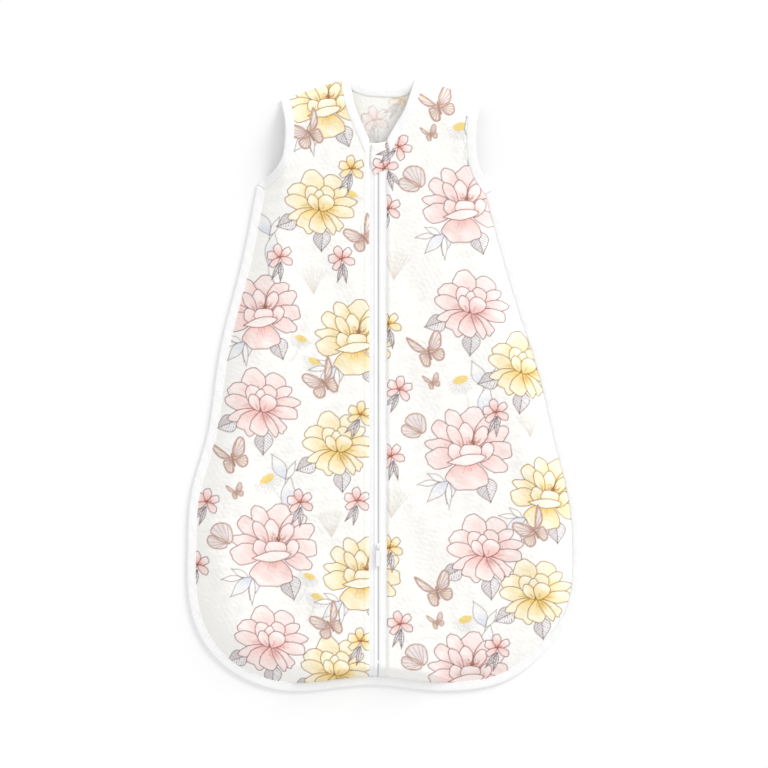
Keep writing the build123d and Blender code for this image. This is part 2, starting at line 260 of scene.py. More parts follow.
def grid_cells(rows, columns):
    """The four corner numbers of each cell in a grid of points."""
    at = np.arange(rows * columns).reshape(rows, columns)
    return np.stack([at[:-1, :-1], at[:-1, 1:], at[1:, 1:], at[1:, :-1]], axis=-1).reshape(-1, 4)


def cloth_grid(outline, cell):
    """Square cells that fill an outline, their corners near it moved onto it."""
    low = outline.min(axis=0)
    high = outline.max(axis=0)
    columns = int(math.ceil((high[0] - low[0]) / cell)) + 1
    rows = int(math.ceil((high[1] - low[1]) / cell)) + 1
    grid_x, grid_y = np.meshgrid(
        np.linspace(low[0], high[0], columns), np.linspace(low[1], high[1], rows)
    )
    xy = np.stack([grid_x.ravel(), grid_y.ravel()], axis=1)
    good = inside(xy, outline)
    padded = np.pad(good.reshape(rows, columns), 1).astype(int)
    around = sum(
        padded[1 + i:1 + i + rows, 1 + j:1 + j + columns] for i in (-1, 0, 1) for j in (-1, 0, 1)
    )
    border = np.flatnonzero(((around > 0) & (around < 9)).ravel())
    gap, place = nearest(xy[border], np.vstack([outline, outline[:1]]))
    close = gap < 0.55 * cell
    xy[border[close]] = place[close]
    good[border[close]] = True
    cells = grid_cells(rows, columns)
    held = good[cells]
    full = cells[held.all(axis=1)]
    three = held.sum(axis=1) == 3
    cut = cells[three][held[three]].reshape(-1, 3)
    used = np.unique(np.concatenate([full.ravel(), cut.ravel()]))
    number = np.full(len(xy), -1)
    number[used] = np.arange(len(used))
    return xy[used], number[full].tolist() + number[cut].tolist()


# ---- the print: soft watercolour flowers with fine drawn lines ----
def tone(red, green, blue):
    """A display colour, each part of it 0 to 255."""
    return np.array([red, green, blue]) / 255


WHITE = tone(252, 250, 246)
# Deep wash, pale wash and line.
INKS = {
    "pink": (tone(243, 178, 171), tone(255, 243, 239), tone(124, 84, 84)),
    "yellow": (tone(243, 198, 98), tone(255, 249, 230), tone(138, 102, 56)),
}
LEAF_LINE = tone(112, 96, 98)
LEAF_FILL = tone(247, 244, 244)
MIST = tone(222, 227, 239)
WING = tone(192, 156, 140)
WING_CELL = tone(238, 230, 230)
PALE_INK = tone(205, 200, 196)
PALE_PETAL = tone(238, 238, 240)
SEED_INK = tone(222, 217, 208)
EYE_YELLOW = tone(242, 212, 122)
STAMEN = tone(158, 92, 62)
# Half the width of a drawn line and how softly it ends, in millimetres.
LINE = 0.42
SOFT = 0.75
STROKE_PITCH = 3.5


def turned(xy, degrees):
    c = math.cos(math.radians(degrees))
    s = math.sin(math.radians(degrees))
    return np.stack([xy[:, 0] * c - xy[:, 1] * s, xy[:, 0] * s + xy[:, 1] * c], axis=1)


def petal(base, angle, length, width, heart=0.0, ruffle=0.0, bend=0.0, point=0.0):
    """A closed outline from base outwards; heart notches its tip and point sharpens it."""
    u = np.linspace(0, 1, 23)
    half = width / 2 * np.sin(math.pi * u ** (1.3 - 0.45 * point)) ** (0.6 + 0.75 * point)
    half[-1] = 0
    x = np.concatenate([-half, half[-2:0:-1]])
    y = length * np.concatenate([u, u[-2:0:-1]])
    far = y / length
    y -= heart * length * swell(x, 0, 0.2 * width) * far ** 3
    wave = 1 + 1.7 * ruffle * np.sin(np.linspace(0, 11 * math.pi, len(x)) + angle) * far ** 2
    x = x * wave + bend * length * far ** 2
    y = y * (1 + (wave - 1) * 0.6)
    ring = turned(np.stack([x, y], axis=1), angle - 90)
    return ring + np.array(base)


def line_ink(width, gap, blur=SOFT):
    """How much of a line's ink lies at each gap from its middle."""
    return np.clip((width - gap) / blur + 0.5, 0, 1)


def fill_ink(within, gap):
    """How much of a fill's ink lies at each point, softer at its edge."""
    return np.where(within, np.clip(gap / 0.4, 0, 1), 0)


class Cloth:
    """The points of a piece of cloth, and the colour that the print gives each one."""

    def __init__(self, xy):
        self.xy = xy
        self.rgb = np.tile(WHITE, (len(xy), 1))

    def near(self, centre, reach, angle, flip=1):
        """The patch of cloth around a place, in a motif's own directions."""
        off = self.xy - np.array(centre)
        found = np.flatnonzero((np.abs(off) < reach).all(axis=1))
        local = turned(off[found], -angle)
        local[:, 0] *= flip
        return Patch(self.rgb, found, local)


class Patch:
    """The points of a cloth that one motif can reach."""

    def __init__(self, rgb, found, local):
        self.rgb = rgb
        self.found = found
        self.local = local

    def lay(self, found, share, colour):
        self.rgb[found] += (colour - self.rgb[found]) * share[:, None]

    def close_to(self, points):
        """Which points lie in the box round some others, a little enlarged."""
        low = points.min(axis=0) - 2
        high = points.max(axis=0) + 2
        return np.flatnonzero(((self.local > low) & (self.local < high)).all(axis=1))

    def ring(self, ring):
        """The points close to a closed outline, whether each is in it, and how far from it."""
        close = self.close_to(ring)
        spots = self.local[close]
        gap = nearest(spots, np.vstack([ring, ring[:1]]))[0]
        return self.found[close], spots, inside(spots, ring), gap

    def line(self, points, colour, width=LINE, strength=0.85):
        points = np.array(points, dtype=float)
        close = self.close_to(points)
        gap = nearest(self.local[close], points)[0]
        self.lay(self.found[close], line_ink(width, gap) * strength, colour)

    def washed(self, ring, base, tip, deep, pale, ink, strength=0.95):
        """A petal: a wash that is deep at its base and pale at its tip, then its outline."""
        hit, spots, within, gap = self.ring(ring)
        way = np.array(tip) - np.array(base)
        up = ((spots - np.array(base)) @ way) / math.hypot(*way) ** 2
        mottle = 0.5 * wave_sum(*spots.T, WASH)
        tint = np.clip(np.clip(1.0 - up, 0, 1) ** 2.0 * 0.98 + 0.06 + mottle, 0.0, 1)[:, None]
        self.lay(hit, fill_ink(within, gap), pale + (deep - pale) * tint)
        self.lay(hit, line_ink(LINE, gap) * strength, ink)


# Petals of the two peonies, back to front: base, direction in degrees, length, width, notch,
# ruffle, bend and how deep the wash is, all but the direction in hundredths of the flower's size.
CUP = [
    ((5, 2), 62, 98, 66, 5, 2, 2, 55),
    ((-8, 5), 103, 102, 66, 6, 3, 0, 45),
    ((10, 0), 38, 88, 34, 0, 2, 8, 60),
    ((-12, 0), 142, 98, 56, 9, 2, -6, 50),
    ((-10, -6), 168, 96, 42, 0, 2, 5, 50),
    ((12, -5), 14, 96, 34, 0, 2, 10, 65),
    ((10, -10), -12, 98, 36, 7, 3, -3, 60),
    ((-10, -12), 196, 88, 30, 0, 2, -5, 45),
    ((-4, -12), 232, 86, 62, 12, 6, 0, 70),
    ((4, -14), 262, 74, 56, 5, 5, 4, 80),
    ((2, -16), -38, 92, 30, 6, 6, 8, 55),
    ((2, -16), -56, 86, 24, 4, 5, 5, 65),
    ((-2, -14), 112, 76, 44, 0, 1, -4, 60),
    ((4, -14), 74, 74, 48, 3, 3, 5, 80),
    ((2, -14), 96, 60, 30, 6, 3, 0, 50),
    ((-6, -17), 118, 52, 30, 0, 0, 3, 40),
    ((3, -20), 62, 54, 48, 2, 2, 5, 100),
]
OPEN = [
    ((5, 10), 84, 90, 62, 6, 4, 0, 60),
    ((10, 6), 52, 92, 46, 5, 4, 5, 75),
    ((-6, 6), 118, 96, 40, 0, 3, 4, 65),
    ((-10, 0), 144, 100, 40, 5, 3, 6, 70),
    ((14, 0), 28, 94, 42, 5, 3, -4, 60),
    ((-16, -6), 166, 86, 34, 0, 4, -4, 50),
    ((14, -10), 6, 96, 44, 6, 4, 5, 55),
    ((-12, -14), 190, 94, 50, 9, 4, 0, 60),
    ((12, -16), -22, 88, 38, 5, 4, 3, 70),
    ((-2, 0), 97, 60, 36, 0, 2, 0, 25),
    ((16, 0), 66, 58, 30, 5, 2, 3, 35),
    ((-12, -2), 124, 66, 28, 0, 2, 3, 35),
    ((-16, -34), 122, 50, 34, 0, 2, 3, 30),
    ((30, -34), 62, 54, 30, 4, 2, -4, 35),
    ((7, -36), 93, 48, 52, 5, 3, 0, 20),
    ((1, -24), 266, 80, 100, 11, 5, 2, 75),
]
BEHIND_STAMENS = 11


def veins(patch, foot, way, length, width, ink):
    """Fine strokes that fan out of a petal's foot."""
    for spread in (-0.30, 0.0, 0.26):
        ahead = math.radians(way + spread * 60 * width)
        step = np.array([math.cos(ahead), math.sin(ahead)]) * length
        ends = (0.16, 0.40 + 0.1 * math.cos(way + 9 * spread))
        patch.line([foot + step * share for share in ends], ink, 0.22, 0.42)


def peony(cloth, centre, size, angle, kind, colour):
    deep, pale, ink = INKS[colour]
    patch = cloth.near(centre, size * 1.75, angle)
    if kind == "cup":
        dark_leaf(patch, (-0.62 * size, -0.38 * size), 205, 0.70 * size, 0.50 * size)
        dark_leaf(patch, (0.06 * size, -0.66 * size), 272, 0.72 * size, 0.50 * size)
        rows = CUP
    else:
        dark_leaf(patch, (0.34 * size, -0.66 * size), 290, 0.66 * size, 0.48 * size)
        spray(patch, (-0.30 * size, -0.62 * size), size)
        rows = OPEN
    for number, (base, way, *shape) in enumerate(rows):
        base = np.array(base) / 100
        length, width, heart, ruffle, bend, wash = np.array(shape) / 100
        ring = petal(base, way, length, width, heart, ruffle, bend) * size
        foot = base * size
        tip = foot + turned(np.array([[length * size, 0.0]]), way)[0]
        strong = pale + (deep - pale) * min(1.0, 0.45 + wash * 0.75)
        patch.washed(ring, foot, tip, strong, pale, ink)
        veins(patch, foot, way, length * size, width, ink)
        if kind == "open" and number == BEHIND_STAMENS:
            stamens(patch, (0.12 * size, 0.10 * size), size * 0.2)
    if kind == "open":
        foot = (-0.50 * size, -0.34 * size)
        tip = (0.46 * size, -0.24 * size)
        ring = petal((-0.50, -0.34), 6, 0.96, 0.26, ruffle=0.03, bend=-0.04, point=0.45) * size
        patch.washed(ring, foot, tip, pale, pale, ink)


def stamens(patch, middle, reach):
    """Short drawn threads with dots at their ends."""
    for i in range(9):
        way = math.radians(20 + i * 17)
        length = reach * (0.75 + 0.35 * math.sin(i * 2.3))
        end = (middle[0] + math.cos(way) * length, middle[1] + math.sin(way) * length * 0.8)
        patch.line([middle, end], STAMEN, 0.3, 0.7)
        gap = np.hypot(*(patch.local - np.array(end)).T)
        patch.lay(patch.found, np.clip((0.9 - gap) / 0.6, 0, 1) * 0.8, STAMEN)


def dark_leaf(patch, base, angle, length, width):
    """A pointed leaf filled with fine slanting strokes, darker on one side of its rib."""
    ring = petal(base, angle, length, width, bend=0.06, point=1.0)
    hit, spots, within, gap = patch.ring(ring)
    own = turned(spots - np.array(base), 90 - angle)
    up = own[:, 1]
    across = own[:, 0] - 0.06 * up ** 2 / length
    cover = fill_ink(within, gap)
    shade = np.where(across > 0, 0.16, 0.02)[:, None]
    patch.lay(hit, cover, LEAF_FILL + (LEAF_LINE - LEAF_FILL) * shade)
    stroke = np.abs(((up - np.abs(across) * 0.8) / STROKE_PITCH) % 1 - 0.5) * STROKE_PITCH
    uneven = np.clip(0.55 + 1.3 * wave_sum(*(3 * spots).T, WASH), 0.1, 0.85)
    patch.lay(hit, cover * line_ink(0.35, stroke, 0.6) * uneven, LEAF_LINE)
    patch.lay(hit, cover * line_ink(0.4, np.abs(across), 0.6) * 0.85, LEAF_LINE)
    patch.lay(hit, line_ink(LINE, gap) * 0.8, LEAF_LINE)


def pale_leaf(patch, base, angle, length, width, tint):
    ring = petal(base, angle, length, width, bend=-0.05, point=1.0)
    tip = np.array(base) + turned(np.array([[length, 0.0]]), angle)[0]
    patch.washed(ring, base, tip, tint, WHITE, LEAF_LINE, 0.62)


def spray(patch, foot, size):
    """A stem with narrow leaves, two of them with a grey-blue wash."""
    x, y = foot
    stem = [(x, y), (x - 0.16 * size, y - 0.16 * size), (x - 0.42 * size, y - 0.18 * size)]
    patch.line(stem, LEAF_LINE, 0.4, 0.6)
    for dx, dy, angle, length, width, tint in (
        (-0.04, -0.06, 252, 0.66, 0.26, MIST), (-0.16, -0.14, 222, 0.72, 0.28, MIST),
        (-0.16, -0.16, 268, 0.66, 0.14, WHITE), (-0.26, -0.17, 152, 0.46, 0.15, WHITE),
        (-0.40, -0.18, 184, 0.52, 0.14, WHITE),
    ):
        base = (x + dx * size, y + dy * size)
        pale_leaf(patch, base, angle, length * size, width * size, tint)


def sprig(cloth, centre, size, angle):
    """An upright stem with one slim leaf and two broad ones that have a grey-blue wash."""
    patch = cloth.near(centre, size * 2.0, angle)
    stem = np.array([(-0.10, -1.45), (-0.08, -0.6), (0.02, 0.02)]) * size
    patch.line(stem, LEAF_LINE, 0.4, 0.6)
    pale_leaf(patch, (-0.08 * size, -1.10 * size), 74, 1.30 * size, 0.50 * size, MIST)
    pale_leaf(patch, (0.02 * size, 0.02 * size), 112, 1.05 * size, 0.48 * size, MIST)
    pale_leaf(patch, (0.04 * size, 0.0), 56, 0.78 * size, 0.24 * size, WHITE)


def small_flower(cloth, centre, size, angle, colour):
    deep, pale, ink = INKS[colour]
    patch = cloth.near(centre, size * 2.2, angle)
    for way in (236, 262):
        dark_leaf(patch, (0, -0.3 * size), way, 1.4 * size, 0.32 * size)
    for i, way in enumerate((158, 30, 96, 214, -36)):
        ring = petal((0, 0), way, 1.0, (0.62, 0.52, 0.58, 0.44, 0.52)[i], 0.10, 0.03) * size
        tip = turned(np.array([[size, 0.0]]), way)[0]
        patch.washed(ring, (0, 0), tip, deep, pale, ink)
    stamens(patch, (0.0, -0.04 * size), size * 0.34)


# Outlines of wings about the root they share, in hundredths of the butterfly's size: the four of
# one that is seen from above and a little to one side, and the two of one with closed wings.
SPREAD = [
    [(0, 0), (-34, 26), (-72, 52), (-100, 62), (-92, 40), (-72, 12), (-40, -6)],
    [(2, -4), (-20, -8), (-40, -14), (-36, -40), (-12, -68), (6, -64), (8, -34)],
    [(4, 0), (0, 34), (10, 68), (34, 94), (48, 88), (56, 56), (54, 26), (30, 6)],
    [(5, -4), (30, 4), (58, 14), (70, -6), (66, -32), (44, -42), (20, -26)],
]
CLOSED = [
    [(50, -50), (-10, -22), (-80, -2), (-92, -42), (-55, -84), (5, -92), (50, -72)],
    [(62, -60), (0, -20), (-68, 20), (-46, 70), (10, 90), (62, 74), (88, 12), (86, -35)],
]


def wing(patch, outline, size):
    """One wing: pale cells between tan veins, inside a broad tan edge."""
    closed = np.array(outline + outline[:1]) / 100
    ring = smooth(closed * size, max(size / 14, 0.8))[:-1]
    hit, spots, within, gap = patch.ring(ring)
    cover = fill_ink(within, gap)
    patch.lay(hit, cover, WING_CELL)
    root = ring[0]
    middle = ring[len(ring) // 2] - root
    own = turned(spots - root, -math.degrees(math.atan2(middle[1], middle[0])))
    far = np.hypot(*own.T)
    turn = np.arctan2(own[:, 1], own[:, 0])
    bold = 0.30 + 0.012 * size
    for at in (-0.46, -0.23, 0.0, 0.23, 0.46):
        vein = far * np.abs(turn - at)
        patch.lay(hit, cover * np.clip((bold - vein) / 0.7 + 0.4, 0, 1) * 0.75, WING)
    rim = 0.4 + 0.052 * size
    edge = np.where(within, np.clip((rim - gap) / 0.7 + 0.5, 0, 1), np.clip(0.7 - gap, 0, 1))
    patch.lay(hit, edge * 0.95, WING)
    spot = np.hypot(*(spots - root - middle * 0.62).T)
    patch.lay(hit, cover * line_ink(size * 0.07, spot, 0.8) * 0.45, EYE_YELLOW)


def butterfly(cloth, centre, size, angle, flip, outlines):
    """A butterfly, with its body and feelers where its wings are spread."""
    patch = cloth.near(centre, size * 1.3, angle, flip)
    for outline in outlines:
        wing(patch, outline, size)
    if outlines is CLOSED:
        return
    body = np.array([(-0.04, 0.16), (0.03, -0.10), (0.12, -0.34)]) * size
    patch.line(body, WING * 0.85, 0.040 * size, 0.95)
    for side in (-0.14, 0.0):
        feeler = np.array([(-0.04, 0.16), (side, 0.34), (2 * side - 0.05, 0.44)]) * size
        patch.line(feeler, WING, 0.22, 0.6)


def daisy(cloth, centre, size, angle):
    """A faint drawn daisy on its stalk, with a yellow eye."""
    patch = cloth.near(centre, size * 2.6, angle)
    for side in (-0.9, 0.9):
        low = (side - 0.1 * size, -2.3 * size)
        stalk = [(side, -0.5 * size), (side + 0.1 * size, -1.4 * size), low]
        patch.line(stalk, PALE_INK, 0.3, 0.6)
    for i in range(11):
        ring = petal((0, 0), 182 + 17.6 * i, 1.05, 0.24, 0.03, 0.02) * size
        hit, _, within, gap = patch.ring(ring)
        patch.lay(hit, fill_ink(within, gap) * 0.35, PALE_PETAL)
        patch.lay(hit, line_ink(0.3, gap) * 0.45, PALE_INK * 0.95)
    eye = np.hypot(patch.local[:, 0] / 1.5, patch.local[:, 1] / 0.8)
    patch.lay(patch.found, line_ink(size * 0.36, eye, 0.8) * 0.85, EYE_YELLOW)


def seed_head(cloth, centre, size, angle):
    """A faint dome of fine strokes above a short curved stalk."""
    patch = cloth.near(centre, size * 2.4, angle)
    for i in range(23):
        way = math.radians(22 + i * 6.2)
        reach = size * (0.86 + 0.10 * math.sin(i * 1.9))
        tip = (math.cos(way) * reach, math.sin(way) * reach * 0.72)
        bulge = (tip[0] * 0.78, tip[1] * 0.35)
        patch.line([(0, -1.0 * size), bulge, tip], SEED_INK, 0.5, 0.42)
    stalk = np.array([(0, 0.7), (-0.1, 1.2), (-0.6, 1.8), (-1.2, 1.9)]) * size
    patch.line(smooth(stalk), PALE_INK, 0.25, 0.3)


# ---- where the print's flowers, insects and sprigs lie, in the plan of the bag ----
# Each row starts with its place; kind, size, angle and flip follow where they differ.
SPRIG_SIZE = 34
SMALL_SIZE = 18
DAISY_SHARE = 0.8
PEONY_SHARE = {"cup": 0.90, "open": 0.97}
PEONIES = {
    "yellow": [
        (-79, 221, "cup", 0, 47), (-73, 348, "open", 6, 47), (-36, 58, "open", 0, 49),
        (-57, -76, "cup", 4, 47), (-27, -233, "open", -4, 48), (171, 21, "cup", -6, 47),
        (203, -135, "open", -12, 47), (187, -258, "cup", 8, 48), (-60, -352, "cup", 0, 46),
    ],
    "pink": [
        (97, 222, "open", 0, 50), (-151, 89, "open", 2, 48), (107, 95, "cup", -3, 49),
        (-151, -26, "cup", 0, 50), (104, -79, "open", 0, 54), (-136, -198, "open", -2, 54),
        (124, -205, "cup", 6, 50), (-140, -317, "cup", 0, 48), (104, -352, "open", 0, 50),
    ],
}
SMALL_FLOWERS = {
    "yellow": [
        (-40, 265, 0), (5, 73, 20), (-29, -38, -10), (7, -202, 15), (-29, -317, 0),
    ],
    "pink": [
        (-52, 154, 20), (-128, 156, 10), (5, 216, 0), (19, -7, -12), (138, -35, 10),
        (-33, -144, 0), (-103, -146, 8), (-219, -146, -10), (9, -89, 25), (-231, -224, 0),
        (20, -296, 12), (140, -325, 0), (1, 266, 50), (18, 292, -40),
    ],
}
BUTTERFLIES = [
    (-92, 309, 28, 50, -1), (67, 343, 29, 0, 1), (-74, 2, 28, 50, -1), (55, 40, 28, 0, 1),
    (-187, -91, 28, 0, 1), (-67, -296, 26, 50, -1), (65, -255, 28, 0, 1),
    (185, -181, 28, 50, -1), (-25, 181, 26, 50, -1), (57, 308, 13, 0, 1), (60, 2, 13, 0, 1),
    (-182, -133, 13, 0, 1), (65, -293, 13, 0, 1),
]
FOLDED_BUTTERFLIES = [
    (35, 253, 18, -4), (37, -51, 17, -4), (-202, -187, 18, 0), (38, -336, 18, -2),
]
DAISIES = [
    (94, 317, 22, 10), (-40, 234, 18, -20), (-102, 56, 17, -22), (-86, 28, 18, -24),
    (94, 5, 22, 18), (-144, -117, 22, 30), (-92, -237, 17, -20), (-82, -262, 18, -22),
    (100, -290, 20, 18), (-118, 338, 16, 10),
]
SEED_HEADS = [
    (-88, 132, 21, 4), (14, 150, 22, -6), (-66, -168, 21, 4), (11, -143, 22, -6),
    (179, -45, 20, 4),
]
SPRIGS = [(-142, 183, 4), (-122, -118, 4), (122, -4, 0), (124, -300, 0), (112, 296, -6)]


def print_pattern(cloth):
    """The whole print on one piece of cloth, the faint drawings first."""
    for x, y, size, angle in SEED_HEADS:
        seed_head(cloth, (x, y), size, angle)
    for x, y, size, angle in DAISIES:
        daisy(cloth, (x, y), size * DAISY_SHARE, angle)
    for x, y, angle in SPRIGS:
        sprig(cloth, (x, y), SPRIG_SIZE, angle)
    for colour, rows in PEONIES.items():
        for x, y, kind, angle, size in rows:
            peony(cloth, (x, y), size * PEONY_SHARE[kind], angle, kind, colour)
    for colour, rows in SMALL_FLOWERS.items():
        for x, y, angle in rows:
            small_flower(cloth, (x, y), SMALL_SIZE, angle, colour)
    for x, y, size, angle, flip in BUTTERFLIES:
        butterfly(cloth, (x, y), size, angle, flip, SPREAD)
    for x, y, size, angle in FOLDED_BUTTERFLIES:
        butterfly(cloth, (x, y), size, angle, 1, CLOSED)


# ---- materials ----
# How many bands Blender's wave texture has in one unit at a scale of 1.
BANDS_PER_UNIT = 3.183


def new_material(name):
    material = bpy.data.materials.new(name)
    material.use_nodes = True
    tree = material.node_tree
    shader = tree.nodes["Principled BSDF"]
    return material, tree, shader


def add(tree, kind, **settings):
    node = tree.nodes.new(kind)
    for key, value in settings.items():
        if key in node.inputs:
            node.inputs[key].default_value = value
        else:
            setattr(node, key, value)
    return node


def set_inputs(node, values):
    for key, value in values.items():
        node.inputs[key].default_value = value


def place_mm(tree):
    """Object coordinates in millimetres."""
    coords = add(tree, "ShaderNodeTexCoord")
    scale = add(tree, "ShaderNodeVectorMath", operation="SCALE", Scale=1 / MM)
    tree.links.new(coords.outputs["Object"], scale.inputs[0])
    return scale.outputs["Vector"]


def weave(tree, shader, pitch, depth, soft=0.0, soft_scale=0.1):
    """Threads across and along at a pitch in millimetres, with a softer crumple over them."""
    link = tree.links.new
    place = place_mm(tree)
    total = None
    for axis in "XY":
        wave = add(tree, "ShaderNodeTexWave", wave_type="BANDS", bands_direction=axis)
        scale = 1 / pitch / BANDS_PER_UNIT
        set_inputs(wave, {"Scale": scale, "Distortion": 1.5, "Detail": 1.0, "Detail Scale": 1.4})
        link(place, wave.inputs["Vector"])
        if total is None:
            total = wave.outputs["Fac"]
        else:
            both = add(tree, "ShaderNodeMath", operation="MULTIPLY")
            link(total, both.inputs[0])
            link(wave.outputs["Fac"], both.inputs[1])
            total = both.outputs[0]
    bump = add(tree, "ShaderNodeBump", Strength=0.5, Distance=depth * MM)
    link(total, bump.inputs["Height"])
    if soft:
        noise = add(tree, "ShaderNodeTexNoise", Scale=soft_scale, Detail=4.0, Roughness=0.55)
        link(place, noise.inputs["Vector"])
        crumple = add(tree, "ShaderNodeBump", Strength=0.6, Distance=soft * MM)
        link(noise.outputs["Fac"], crumple.inputs["Height"])
        link(crumple.outputs["Normal"], bump.inputs["Normal"])
    link(bump.outputs["Normal"], shader.inputs["Normal"])
    return place


def tinted(tree, place, colour, amount, scale):
    """A colour that varies a little from place to place."""
    noise = add(tree, "ShaderNodeTexNoise", Scale=scale, Detail=3.0)
    tree.links.new(place, noise.inputs["Vector"])
    ramp = add(tree, "ShaderNodeValToRGB")
    low = [max(c - amount, 0) for c in colour]
    ramp.color_ramp.elements[0].position = 0.3
    ramp.color_ramp.elements[0].color = (*low, 1)
    ramp.color_ramp.elements[1].position = 0.7
    ramp.color_ramp.elements[1].color = (*colour, 1)
    tree.links.new(noise.outputs["Fac"], ramp.inputs["Fac"])
    return ramp.outputs["Color"]


def muslin():
    """Printed double muslin: the print is a colour on the cloth's own points."""
    material, tree, shader = new_material("printed_muslin")
    link = tree.links.new
    place = weave(tree, shader, 0.9, 0.07, 0.5, 0.16)
    ink = add(tree, "ShaderNodeAttribute", attribute_name="print")
    shade = add(tree, "ShaderNodeMixRGB", blend_type="MULTIPLY", Fac=1.0)
    link(ink.outputs["Color"], shade.inputs["Color1"])
    link(tinted(tree, place, (1.0, 1.0, 1.0), 0.035, 0.5), shade.inputs["Color2"])
    link(shade.outputs["Color"], shader.inputs["Base Color"])
    set_inputs(shader, {
        "Roughness": 0.92, "Specular IOR Level": 0.15, "Sheen Weight": 0.12, "Sheen Roughness": 0.6,
    })
    return material


def white_cloth(name, pitch, depth, colour, crumple=0.5):
    material, tree, shader = new_material(name)
    place = weave(tree, shader, pitch, depth, crumple, 0.22)
    tree.links.new(tinted(tree, place, colour, 0.03, 0.4), shader.inputs["Base Color"])
    set_inputs(shader, {"Roughness": 0.85, "Specular IOR Level": 0.2, "Sheen Weight": 0.15})
    return material


def hard_white(name, colour, roughness, coat=0.0):
    material, tree, shader = new_material(name)
    link = tree.links.new
    place = place_mm(tree)
    link(tinted(tree, place, colour, 0.04, 0.8), shader.inputs["Base Color"])
    noise = add(tree, "ShaderNodeTexNoise", Scale=2.2, Detail=2.0)
    link(place, noise.inputs["Vector"])
    bump = add(tree, "ShaderNodeBump", Strength=0.15, Distance=0.1 * MM)
    link(noise.outputs["Fac"], bump.inputs["Height"])
    link(bump.outputs["Normal"], shader.inputs["Normal"])
    set_inputs(shader, {"Roughness": roughness, "Coat Weight": coat, "Coat Roughness": 0.12})
    return material


MUSLIN = muslin()
BIND = white_cloth("white_binding", 0.55, 0.07, (0.95, 0.95, 0.95))
THREAD = white_cloth("white_thread", 0.4, 0.05, (0.90, 0.90, 0.91), 0.1)
TAPE = white_cloth("zip_tape", 0.8, 0.10, (0.93, 0.93, 0.94), 0.2)
NYLON = hard_white("zip_nylon", (0.90, 0.90, 0.91), 0.38)
ENAMEL = hard_white("slider_enamel", (0.91, 0.91, 0.92), 0.28, 0.5)


# ---- panels ----
FRONT_CELL = 1.0
BACK_CELL = 1.7
GARAGE_CELL = 0.6
GHOST_SHARE = 0.34
# Beside the zip the cloth drops under itself, with a low ridge behind the fold.
FOLD_DROP = 1.1
FOLD_WIDTH = 2.4
RIDGE = 0.35
RIDGE_STARTS = 14
SHOULDER_JOIN = 3.0


def ring_of(*edges):
    """Edges joined end to end into one closed outline."""
    return np.vstack([edge[:-1] for edge in edges])


def front_ring(side):
    """The outline of one front panel."""
    edge_x = WINDOW[side]
    hem = smooth(HEM)
    hem = hem[(hem[:, 0] - edge_x) * side > 0]
    if side > 0:
        hem = hem[::-1]
    foot = np.array([edge_x, np.interp(edge_x, *smooth(HEM).T)])
    down = np.linspace([edge_x, VEE_Y], foot, 200)[::-1]
    return ring_of(
        smooth(SHOULDER[side]), smooth(ARMHOLE[side]), smooth(SIDE[side]),
        np.vstack([hem, foot]), down, smooth(VEE[side])[::-1],
    )


def front_panel(side, name, node):
    """One printed front panel, its long edge folded under beside the zip."""
    xy, faces = cloth_grid(front_ring(side), FRONT_CELL)
    z = front_top(xy)
    from_fold = np.abs(xy[:, 0] - WINDOW[side])
    z -= FOLD_DROP * (1 - ease(from_fold / FOLD_WIDTH)) * (xy[:, 1] < VEE_Y - 2)
    z += RIDGE * swell(from_fold, 4.5, 1.6) * (xy[:, 1] < VEE_Y - RIDGE_STARTS)
    seam = nearest(xy, smooth(SHOULDER[side]))[0]
    z -= (z - BACK_TOP) * (1 - ease(seam / SHOULDER_JOIN))
    cloth = Cloth(xy)
    print_pattern(cloth)
    piece = new_piece(name, np.column_stack([xy, z]), faces, "bag", [MUSLIN], cloth.rgb)
    flat_map(piece, xy.min(axis=0), xy.max(axis=0))
    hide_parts(*[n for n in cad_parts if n.startswith("front_") and n.endswith(node)])
    return piece, xy, faces


def back_panel():
    """The back, printed outside and showing a faint ghost of the print inside."""
    ring = ring_of(
        smooth(SHOULDER[1]), smooth(ARMHOLE[1]), smooth(SIDE[1]), smooth(HEM)[::-1],
        smooth(SIDE[-1])[::-1], smooth(ARMHOLE[-1])[::-1], smooth(SHOULDER[-1])[::-1],
        smooth(BACK_NECK),
    )
    xy, faces = cloth_grid(ring, BACK_CELL)
    ghost = Cloth(xy)
    small_flower(ghost, (-11, 327), 19, 10, "pink")
    small_flower(ghost, (20, 352), 16, -20, "yellow")
    outside = Cloth(xy * np.array([-1, 1]))
    print_pattern(outside)
    top = BACK_TOP - 0.1 + wave_sum(*xy.T, CRINKLES) * 0.8
    points, both = thick(np.column_stack([xy, top]), faces, CLOTH)
    inside_rgb = WHITE + (ghost.rgb - WHITE) * GHOST_SHARE
    piece = new_piece("back", points, both, "bag", [MUSLIN], np.vstack([inside_rgb, outside.rgb]))
    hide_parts("back_panel")
    return piece, xy, faces


# ---- bindings ----
# The strip's section, lower leg to upper: how far in from the fold, and its share of the climb.
SKIN = [(11.0, 0.0), (8.0, 0.0), (4.5, 0.0), (1.6, 0.0), (0.5, 0.12), (0.0, 0.5),
        (0.5, 0.90), (1.6, 1.0), (4.5, 1.04), (8.0, 1.04), (10.3, 1.0), (11.0, 0.92)]
STITCH_IN = 9.0
FOLD_OUT = 0.7
STITCH_PITCH = 3.0
# A stitch's half length, half width and height.
STITCH = (0.95, 0.22, 0.16)
INSIDE_BAG = (ZIP_X, -20.0)
TURN_OVER = 14.0
BELOW_FRONT = 1.9
OFF_FLOOR = 0.05


def unit(v):
    v = np.array(v, dtype=float)
    return v / math.hypot(*v)


